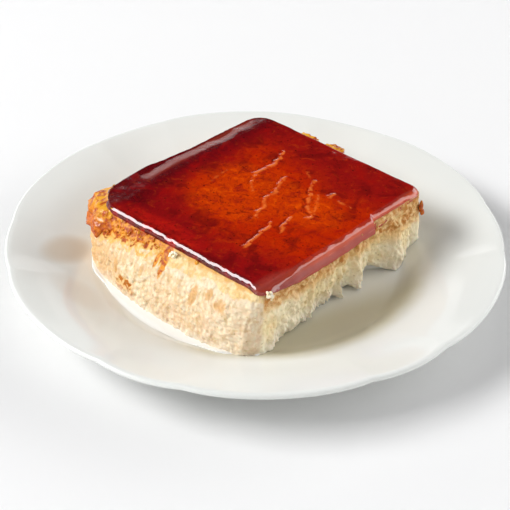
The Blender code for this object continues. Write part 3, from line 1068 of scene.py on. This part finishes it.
class CaramelSheet:
    """The form of the set caramel: its relief on top and its profile over the edges."""

    THICKNESS = 3.0 * MM
    BELOW_BOX = 0.27 * MM
    # How far the top falls away at the left, the far edge, the near right and the far left corner.
    LEFT_FALL = 0.9 * MM
    FAR_FALL = 0.75 * MM
    TURNED_FALL = 1.1 * MM
    CORNER_FALL = 0.4 * MM
    # The rounded shoulder of the edge, and how the right side leans, hangs over and jogs.
    SHOULDER = 1.35 * MM
    BEVEL_POWER = 1.22
    LEAN = 1.8 * MM
    SAG = 3.4 * MM
    LAP = 0.8 * MM
    JOG = 1.5 * MM
    # How the edge stands out on the left, and how much of the near left corner is missing.
    LEFT_STAND = 0.3 * MM
    LEFT_BULGE = 1.9 * MM
    CORNER_CUT = 1.3 * MM
    # How the wrinkles wander: seed, size and reach of each wave, and how far apart its two parts are.
    WANDER = ((0.1, 3.6 * MM, 0.9 * MM), (4.1, 1.6 * MM, 0.45 * MM))
    APART = Vector((9, 5, 2))
    RIDGE_REACH = 4 * MM

    def __init__(self):
        self.top_level = CARAMEL_TOP - self.BELOW_BOX
        self.outer = Outline()
        self.far_left = corners()[1]
        self.near_left = self.outer.at(2.0)[0]
        self.runs = []
        for points, strength in WRINKLES:
            self.runs.append(([Vector((x * MM, y * MM)) for x, y in points], strength))

    def wrinkle(self, x, y):
        """(ridge, furrow) at a place on top, each from 0 to 1."""
        ridge = furrow = 0.0
        here = Vector((x, y))
        for seed, size, reach in self.WANDER:
            spot = Vector((x, y, seed)) / size
            here = here + Vector((noise.noise(spot), noise.noise(spot + self.APART))) * reach
        for points, strength in self.runs:
            for start, end in zip(points, points[1:]):
                run = end - start
                t = min(1.0, max(0.0, (here - start).dot(run) / run.length_squared))
                off = here - (start + run * t)
                if off.length > self.RIDGE_REACH:
                    continue
                beside = off.dot(Vector((run.y, -run.x)).normalized())
                along = abs(off.dot(run.normalized()))
                broken = 0.65 + 0.7 * noise.noise(Vector((x, y, 0.2)) / (2.2 * MM))
                tail = bump(along, 0.0, 0.7 * MM) * strength * broken
                ridge = max(ridge, tail * bump(beside, -0.30 * MM, 0.85 * MM))
                furrow = max(furrow, tail * bump(beside, 1.30 * MM, 0.80 * MM))
        return min(1.0, ridge), min(1.0, furrow)

    def band(self, y):
        """Where the middle of the slope along the left edge lies."""
        return -0.0425 + 0.0022 * ease(0.0, 0.026, y) + 0.0016 * ease(-0.004, -0.024, y)

    def relief(self, x, y):
        """Height of the top here, from its highest level."""
        middle = self.band(y) + 0.9 * MM * noise.noise(Vector((0, y, 0.5)) / (6 * MM))
        half = 2.8 * MM + 14.0 * MM * ease(-0.014, -0.026, y)
        left = ease(middle + half, middle - half, x) * ease(0.050, 0.038, y)
        near = bump(x, middle, half) * ease(-0.040, -0.030, y)
        corner = math.hypot(x - self.far_left[0], y - self.far_left[1])
        tilt = min(1.0, max(0.0, (y - 0.030) / 0.021)) ** 2 * ease(-0.042, -0.026, x)
        turned = min(1.0, max(0.0, (x - 0.0345) / 0.0070)) ** 2 * ease(-0.020, -0.032, y)
        here = Vector((x, y, 0.3 * MM))
        wave = 0.11 * MM * cloud(here, 16 * MM, 2)
        wave += (0.030 + 0.10 * near) * MM * cloud(here, 5 * MM, 2)
        fall = self.LEFT_FALL * left + self.FAR_FALL * tilt + self.TURNED_FALL * turned
        return wave - fall - self.CORNER_FALL * bump(corner, 0.0, 9 * MM)

    def jog(self, point):
        """How far the right edge stands in beyond the crack across it."""
        return self.JOG * ease(0.0195, 0.0220, point.y) * ease(0.028, 0.040, point.x)

    def depth(self, point, normal):
        """Height of the sheet's edge, which sags over the torn side."""
        sag = self.SAG * ease(-0.041, -0.020, point.y) * ease(0.050, 0.022, point.y)
        lap = self.LAP * max(0.0, -normal.y) ** 2 + sag * max(0.0, normal.x) ** 2
        ragged = 0.35 * MM * cloud(point, 5 * MM, 3)
        return self.THICKNESS - 0.2 * MM + lap + ragged

    def edge(self, station, inset, share):
        """A point of the edge, this far in from the outline and this share of the way down."""
        point, facing = self.outer.at(station)
        here = Outline(inset).at(station)[0] if inset else point.copy()
        here -= facing * max(0.0, facing.x) ** 2 * self.LEAN * (1 - share)
        here.x -= self.jog(here)
        left = max(0.0, -facing.x)
        fringe = 0.25 * MM * cloud(point, 8 * MM, 2)
        fringe += left * (self.LEFT_STAND + self.LEFT_BULGE * bump(point.y, -0.0125, 0.0125))
        fringe += 0.45 * MM * left * noise.noise(point / (1.6 * MM)) * (0.35 + 0.65 * share)
        fringe -= self.CORNER_CUT * bump((point - self.near_left).length, 0.0, 7 * MM)
        return here + facing * fringe

    def brim(self, station):
        """A point where the top meets the shoulder."""
        return self.edge(station % 4, self.SHOULDER, 0.0)


class MESH_OT_tres_leches_caramel(Operator):
    """Lays the caramel sheet with its wrinkles and rolls its edges down to the sponge"""

    bl_idname = "mesh.tres_leches_caramel"
    bl_label = "Caramel"

    # Rows round the shoulder and down the edge, and the share of the way down that the edge is upright.
    TURNS = 8
    ROWS = 4
    STRAIGHT = 0.85
    # The rows that turn in under the edge: inset, and share of the way down.
    HEM = ((0.18 * MM, 0.95), (0.7 * MM, 1.0), (2.2 * MM, 0.97))
    TUCK = 6.0 * MM
    LEAST_EDGE = 0.8 * MM
    DIP = 0.8
    # Where the front, back, left and right of the grid start on the outline, and which way they run.
    RIMS = ((2, 1), (1, -1), (2, -1), (3, 1))

    def profile(self):
        """(inset, drop within the shoulder, share of the rest of the way down) for each row."""
        radius = CaramelSheet.SHOULDER
        power = 2 / CaramelSheet.BEVEL_POWER
        rows = []
        for k in range(1, self.TURNS + 1):
            turn = math.pi / 2 * k / self.TURNS
            inset = radius * (1 - math.sin(turn) ** power)
            rows.append((inset, radius * (1 - math.cos(turn) ** power), 0.0))
        rows += [(0.0, radius, k / self.ROWS * self.STRAIGHT) for k in range(1, self.ROWS + 1)]
        rows += [(inset, radius, share) for inset, share in self.HEM]
        return rows

    @staticmethod
    def station(u, v, i, j, cells):
        """Where on the outline a place on the rim of the grid lies."""
        if j == 0 and i < cells:
            return 2 + u
        if i == cells and j < cells:
            return 3 + v
        if j == cells and i > 0:
            return 1 - u
        return 2 - v

    def lay_top(self, bm, sheet, marks):
        """Lays a grid inside the brim, with its relief. Gives back the brim's height at each station."""
        shape = settings().caramel
        cells = shape.cells
        mark, wrinkle, furrow = marks
        bmesh.ops.create_grid(bm, x_segments=cells, y_segments=cells, size=0.5)
        front, back, left, right = (
            [sheet.brim(first + way * k / cells) for k in range(cells + 1)] for first, way in self.RIMS
        )
        brims = {}
        for vert in bm.verts:
            u, v = vert.co.x + 0.5, vert.co.y + 0.5
            i, j = round(u * cells), round(v * cells)
            spot = front[i].lerp(back[i], v) + left[j].lerp(right[j], u)
            spot -= front[0].lerp(front[-1], u).lerp(back[0].lerp(back[-1], u), v)
            ridge, dip = sheet.wrinkle(spot.x, spot.y)
            vert[wrinkle], vert[furrow] = ridge, dip
            height = sheet.relief(spot.x, spot.y) + shape.ridge * (ridge - self.DIP * dip)
            vert.co = Vector((spot.x, spot.y, sheet.top_level + height))
            if vert.is_boundary:
                vert[mark] = self.station(u, v, i, j, cells)
                brims[vert[mark]] = vert.co.z
        return brims

    def roll_edge(self, bm, sheet, mark, brims):
        """Rolls the edge over its shoulder, down to the sponge and in under itself."""
        ring = [edge for edge in bm.edges if edge.is_boundary]
        for inset, row_drop, share in self.profile():
            ring, verts = extruded(bm, ring)
            for vert in verts:
                station = vert[mark]
                point, normal = sheet.outer.at(station)
                depth = sheet.depth(point, normal)
                wavy = 0.42 * noise.noise(point / (4.2 * MM)) + 0.13 * noise.noise(point / (1.5 * MM))
                drop = row_drop * (1 + wavy * (1 - 0.85 * max(0.0, normal.x)))
                here = sheet.edge(station, inset, (drop + (depth - drop) * share) / depth)
                low = brims[station] - drop
                bottom = min(low - self.LEAST_EDGE, sheet.top_level - depth)
                vert.co = Vector((here.x, here.y, low + (bottom - low) * share))
        return ring

    def execute(self, context):
        sheet = CaramelSheet()
        bm = bmesh.new()
        marks = [bm.verts.layers.float.new(name) for name in ("station", "wrinkle", "furrow")]
        mark, wrinkle, furrow = marks
        brims = self.lay_top(bm, sheet, marks)
        top = len(bm.verts)
        ring = self.roll_edge(bm, sheet, mark, brims)
        tuck = Outline(self.TUCK)
        ring, verts = extruded(bm, ring)
        for vert in verts:
            vert.co = tuck.at(vert[mark])[0]
            vert.co.z = sheet.top_level - sheet.THICKNESS
        bm.verts.ensure_lookup_table()
        for vert in bm.verts[top:]:
            vert[wrinkle] = vert[furrow] = 0.0
        bmesh.ops.holes_fill(bm, edges=ring)
        add_piece("caramel_sheet", bm, CaramelFinish().finished(), ["caramel"])
        return {"FINISHED"}


class MESH_OT_tres_leches_scraps(Operator):
    """Hangs the run caramel on the near left corner, behind the far edge and at the far right corner"""

    bl_idname = "mesh.tres_leches_scraps"
    bl_label = "Run caramel"

    # The fold's grid, where it starts on the outline, how far it runs, its top and its thickness.
    FLAP_GRID = (170, 90)
    FLAP_START = 1.885
    FLAP_RUN = 0.235
    FLAP_TOP = 1.045
    FLAP_THICKNESS = 0.8 * MM
    # How many beads there are, and the stretch of the outline that they lie on.
    BEADS = 45
    BEADED = (2.02, 2.44)
    # Place, half size and turn about Z of each lobe, in millimetres and degrees.
    LOBES = (
        ((-17.2, 51.0, 33.5), (5.6, 2.4, 1.25), 4),
        ((-12.6, 50.2, 32.6), (3.0, 1.5, 1.2), -8),
        ((-4.8, 50.6, 33.9), (4.0, 3.4, 0.95), 10),
        ((-2.2, 51.6, 33.4), (2.2, 1.9, 0.9), -20),
        ((41.6, 49.7, 27.6), (1.0, 1.3, 2.2), 30),
        ((42.0, 50.3, 25.2), (0.7, 0.8, 1.3), 0),
        ((9.8, -42.8, 32.2), (1.0, 0.9, 1.3), 0),
    )

    def flap(self):
        """A slumped fold of caramel over the near left corner. u runs along it and v up from its hem."""
        side = SpongeSide()
        bm = bmesh.new()
        across, up = self.FLAP_GRID
        bmesh.ops.create_grid(bm, x_segments=across, y_segments=up, size=0.5)
        for vert in bm.verts:
            u, v = vert.co.x + 0.5, vert.co.y + 0.5
            ends = ease(0.0, 0.14, u) * ease(1.0, 0.82, u)
            ragged = noise.noise(Vector((u * 9, 0.3, 0)))
            hem = 0.60 + 0.07 * ragged - 0.06 * u + 0.22 * (1 - ends)
            share = hem + (self.FLAP_TOP - hem) * v
            spot, normal = side.smooth(self.FLAP_START + self.FLAP_RUN * u, share)[:2]
            wander = 3 * noise.noise(Vector((u * 5, v * 3, 0)))
            fold = 0.5 + 0.5 * math.sin(15 * u + 5 * v + wander)
            belly = 1.5 * bump(v, 0.66, 0.30) * ease(0.75, 0.35, u)
            hang = ease(0.0, 0.12, v) * ends
            swell = hang * (0.9 + fold + belly) * MM
            swell += 0.6 * MM * cloud(spot, 2.2 * MM, 3) * hang
            lap = ease(0.80, 1.0, v) * ends
            swell = swell * (1 - lap) - 1.7 * MM * lap
            sunk = 0.35 * MM * (1 - ends * ease(0.0, 0.06, v))
            vert.co = spot + normal * (swell - sunk)
        whole = bm.verts[:] + bm.edges[:] + bm.faces[:]
        bmesh.ops.solidify(bm, geom=whole, thickness=-self.FLAP_THICKNESS)
        return bm

    def beads(self, bm):
        """Small drops of caramel on the stained crumb, in millimetres."""
        draw = random.Random(11)
        side = SpongeSide()
        for _ in range(self.BEADS):
            station = draw.uniform(*self.BEADED)
            share = draw.uniform(0.99, 0.78 + 0.45 * max(0.0, station - 2.10))
            place = side.at(station, min(0.99, share)) / MM
            half = [draw.uniform(0.25, 0.6) for _ in range(3)]
            ragged_ball(bm, place, half, rough=0.7, lump=0.8, subdivisions=3)

    def execute(self, context):
        look = syrup_finish()
        add_piece("caramel_flap", self.flap(), look)
        bm = bmesh.new()
        for place, half, turn in self.LOBES:
            ragged_ball(bm, Vector(place), half, rough=0.45, lump=1.8, subdivisions=4, turn=turn)
        self.beads(bm)
        bmesh.ops.scale(bm, verts=bm.verts, vec=(MM, MM, MM))
        add_piece("caramel_lobes", bm, look)
        return {"FINISHED"}


class MESH_OT_tres_leches_crumbs(Operator):
    """Scatters loose crumbs along the top of the sponge's cut and torn sides"""

    bl_idname = "mesh.tres_leches_crumbs"
    bl_label = "Crumbs"

    # Clusters of loose crumbs: middle, spread and size in millimetres, and how many.
    CLUSTERS = (
        ((-0.6, -44.5, 32.1), (1.5, 0.4, 1.2), 0.9, 9),
        ((42.4, -39.9, 33.2), (0.7, 1.0, 1.1), 0.9, 6),
        ((42.0, -37.6, 31.0), (0.3, 1.2, 0.9), 0.6, 4),
    )

    def execute(self, context):
        draw = random.Random(4)
        bm = bmesh.new()
        for middle, spread, size, count in self.CLUSTERS:
            for _ in range(count):
                place = Vector([m + draw.uniform(-1, 1) * r for m, r in zip(middle, spread)])
                half = [size * draw.uniform(0.45, 1.0) for _ in range(3)]
                ragged_ball(bm, place, half, rough=0.6, lump=0.9, subdivisions=3)
        bmesh.ops.scale(bm, verts=bm.verts, vec=(MM, MM, MM))
        add_piece("loose_crumbs", bm, loose_crumb_finish())
        return {"FINISHED"}


# ---------------------------------------------------------------- milk


class MESH_OT_tres_leches_milk(Operator):
    """Pours the milk round the slice's foot"""

    bl_idname = "mesh.tres_leches_milk"
    bl_label = "Milk"

    STATIONS = 4 * 160
    LIMIT_DEPTH = 0.35 * MM
    # The swell against the crumb: how far out from the foot and how high each row lies, in millimetres.
    SWELL = ((-2.0, 0.0), (-1.2, 0.35), (-0.2, 0.55), (0.35, 0.32), (0.9, 0.12), (1.6, 0.04))
    # Rows from there to the edge of the pool, as shares of the way.
    SHARES = (0.3, 0.6, 0.85, 0.95, 1.0)
    LEAST_RUN = 0.6 * MM
    LEAST_REACH = 1.3 * MM
    # How far the pool's edge and its swell draw in where the side is dry, the swell's in millimetres.
    DRAWN_IN = 3.6 * MM
    SWELL_IN = 2.6
    SKIRT = 0.05 * MM

    def limit(self):
        """Radius past which the milk is too shallow to stand."""
        radius = settings().plate.floor_radius
        while MILK_LEVEL - plate_top(radius) > self.LIMIT_DEPTH:
            radius += 0.05 * MM
        return radius

    def surface(self, spot):
        """Puts a point on the milk, or on its film where the plate is higher."""
        spot.z = max(MILK_LEVEL, plate_top(spot.xy.length) + settings().milk.film)
        return spot

    def skirt(self, spot):
        """The point just inside the glaze under this one."""
        return Vector((spot.x, spot.y, plate_top(spot.xy.length) - self.SKIRT))

    def section(self, side, station, limit):
        """Points across the pool at a station, from under the crumb, over the edge and back."""
        shape = settings().milk
        foot, normal = side.smooth(station, 0.0)[:2]
        wet = 0.5 + 0.5 * noise.noise(foot * 60)
        torn_side = ease(-0.0475, -0.0445, foot.y) * ease(0.026, 0.018, foot.y)
        above = ease(0.4 * MM, 1.4 * MM, plate_top(foot.xy.length) - MILK_LEVEL)
        dry = max(max(0.0, normal.x) * torn_side, above)
        front = max(0.0, -normal.y) ** 2
        reach = shape.band * (0.5 + wet) + (shape.reach - shape.band) * front
        far = foot + normal * (reach - self.DRAWN_IN * dry)
        if far.xy.length > limit:
            near = foot + normal * self.LEAST_REACH
            keep = max(limit, near.xy.length)
            far.xy *= min(1.0, keep / far.xy.length)
        points = []
        for out, rise in self.SWELL:
            points.append(self.surface(foot + normal * (out - self.SWELL_IN * dry) * MM))
            points[-1].z += rise * MM * (0.4 + 0.6 * front)
        start = points[-1].copy()
        if (far - foot).dot(normal) <= self.SWELL[-1][0] * MM:
            far = start + normal * self.LEAST_RUN
        for share in self.SHARES:
            spot = self.surface(start.lerp(far, share))
            spot.z += (plate_top(spot.xy.length) - spot.z) * ease(0.1, 1.0, share)
            points.append(spot)
        return [*points, self.skirt(points[-1]), self.skirt(points[0])]

    def execute(self, context):
        side = SpongeSide()
        limit = self.limit()
        bm = bmesh.new()
        mark = bm.verts.layers.float.new("station")
        thin = bm.verts.layers.float.new("thin")
        verts = bmesh.ops.create_circle(bm, segments=self.STATIONS, radius=1.0)["verts"]
        for k, vert in enumerate(verts):
            vert[mark] = 4 * k / self.STATIONS
        first = ring = list(bm.edges)
        sections = {vert[mark]: self.section(side, vert[mark], limit) for vert in verts}
        rows = len(self.SWELL) + len(self.SHARES) + 2
        for row in range(rows):
            if row:
                ring, verts = extruded(bm, ring)
            edge = 0.0
            if row < rows - 1:
                edge = ease(len(self.SWELL) - 1, rows - 3, min(row, rows - 2))
            for vert in verts:
                vert.co = sections[vert[mark]][row]
                vert[thin] = edge
        bmesh.ops.bridge_loops(bm, edges=ring + first)
        nodes = ["milk_front", "milk_right", "milk_back", "milk_left"]
        add_piece("milk_pool", bm, milk_finish(), nodes)
        return {"FINISHED"}


# ---------------------------------------------------------------- stage


class SCENE_OT_tres_leches_stage(Operator):
    """Sets the pale floor with its low wall, the soft lights and the camera"""

    bl_idname = "scene.tres_leches_stage"
    bl_label = "Stage"

    SWEEP = ((0, 0), (2.2, 0), (2.5, 0.06), (2.62, 0.3), (2.62, 1.15))
    SWEEP_STEPS = 96
    DOME = (0.225, 0.225, 0.23)
    PANEL = (0.01, 0.01, 0.01)
    PANEL_WAY = Vector((-0.54, 0.61, 0.575))
    PANEL_EDGE = (26, 11)
    # Name, azimuth, elevation, distance, width and height of each soft light.
    KEY = ("key_softbox", 227, 39, 2.4, 1.7, 0.8)
    BACK = ("back_panel", 60, 25, 2.3, 3.2, 1.1)
    CAMERA_PLACE = (0.33061, -0.37368, 0.35694)
    CAMERA_AZIMUTH = 41.515
    CAMERA_DOWN = 34.84
    CAMERA_ROLL = 1.13

    def sweep(self):
        """The floor, which turns up into a low wall far out."""
        bm = bmesh.new()
        spun(bm, self.SWEEP, self.SWEEP_STEPS)
        bmesh.ops.recalc_face_normals(bm, faces=bm.faces)
        bmesh.ops.reverse_faces(bm, faces=bm.faces)
        floor = smooth_object("studio_sweep", bm, sweep_finish())

    def softbox(self, name, azimuth, elevation, distance, width, height, power):
        """A soft light that faces the middle of the plate."""
        data = bpy.data.lights.new(name, "AREA")
        data.shape = "RECTANGLE"
        data.size, data.size_y = width, height
        data.energy = power
        light = linked(name, data)
        lifted = Matrix.Rotation(-math.radians(elevation), 3, "Y")
        way = Matrix.Rotation(math.radians(azimuth), 3, "Z") @ lifted @ Vector((1, 0, 0))
        light.location = way * distance
        light.rotation_euler = way.to_track_quat("Z", "Y").to_euler()

    def dome(self):
        """An even pale dome with one dark panel, which keeps the flat of the glossy top clear."""
        world = bpy.data.worlds.new("pale_dome")
        world.use_nodes = True
        look = Nodes(world.node_tree)
        way = look.node("ShaderNodeTexCoord", output="Generated")
        sockets = {0: way, 1: self.PANEL_WAY.normalized()}
        facing = look.node("ShaderNodeVectorMath", {"operation": "DOT_PRODUCT"}, sockets, output="Value")
        outer, inner = (math.cos(math.radians(turn)) for turn in self.PANEL_EDGE)
        shade = look.mix(look.rise(facing, outer, inner), self.DOME, self.PANEL)
        look.feed(world.node_tree.nodes["Background"].inputs["Color"], shade)
        bpy.context.scene.world = world

    def camera(self, focal):
        """A camera that looks down at the near right corner."""
        data = bpy.data.cameras.new("camera")
        data.lens = focal
        camera = linked("camera", data)
        turns = ((self.CAMERA_AZIMUTH, "Z"), (90 - self.CAMERA_DOWN, "X"), (self.CAMERA_ROLL, "Z"))
        matrix = Matrix.Translation(self.CAMERA_PLACE)
        for degrees, axis in turns:
            matrix = matrix @ Matrix.Rotation(math.radians(degrees), 4, axis)
        camera.matrix_world = matrix
        bpy.context.scene.camera = camera

    def execute(self, context):
        stage = settings().stage
        self.sweep()
        self.dome()
        self.softbox(*self.KEY, stage.key)
        self.softbox(*self.BACK, stage.panel)
        self.camera(stage.focal)
        context.scene.view_settings.view_transform = "Standard"
        return {"FINISHED"}


# ---------------------------------------------------------------- add-on


class TresLechesSettings(PropertyGroup):
    plate: PointerProperty(type=PlateSettings)
    slice: PointerProperty(type=SliceSettings)
    sponge: PointerProperty(type=SpongeSettings)
    caramel: PointerProperty(type=CaramelSettings)
    scraps: PointerProperty(type=ScrapSettings)
    milk: PointerProperty(type=MilkSettings)
    stage: PointerProperty(type=StageSettings)


STEPS = (
    SCENE_OT_tres_leches_stage,
    MESH_OT_tres_leches_plate,
    MESH_OT_tres_leches_sponge,
    MESH_OT_tres_leches_caramel,
    MESH_OT_tres_leches_scraps,
    MESH_OT_tres_leches_crumbs,
    MESH_OT_tres_leches_milk,
)


class VIEW3D_PT_tres_leches(Panel):
    """Lists the steps that make the cake"""

    bl_label = "Tres Leches Cake"
    bl_space_type = "VIEW_3D"
    bl_region_type = "UI"
    bl_category = "Tres Leches"

    def draw(self, context):
        for step in STEPS:
            self.layout.operator(step.bl_idname)


PIECES = (PlateSettings, SliceSettings, SpongeSettings, CaramelSettings, ScrapSettings, MilkSettings)
GROUPS = (*PIECES, StageSettings)
CLASSES = (*GROUPS, TresLechesSettings, *STEPS, VIEW3D_PT_tres_leches)


def register():
    for kind in CLASSES:
        bpy.utils.register_class(kind)
    bpy.types.Scene.tres_leches = PointerProperty(type=TresLechesSettings)


def unregister():
    del bpy.types.Scene.tres_leches
    for kind in reversed(CLASSES):
        bpy.utils.unregister_class(kind)


def main():
    register()
    for step in STEPS:
        group, name = step.bl_idname.split(".")
        getattr(getattr(bpy.ops, group), name)()


if __name__ == "__main__":
    main()
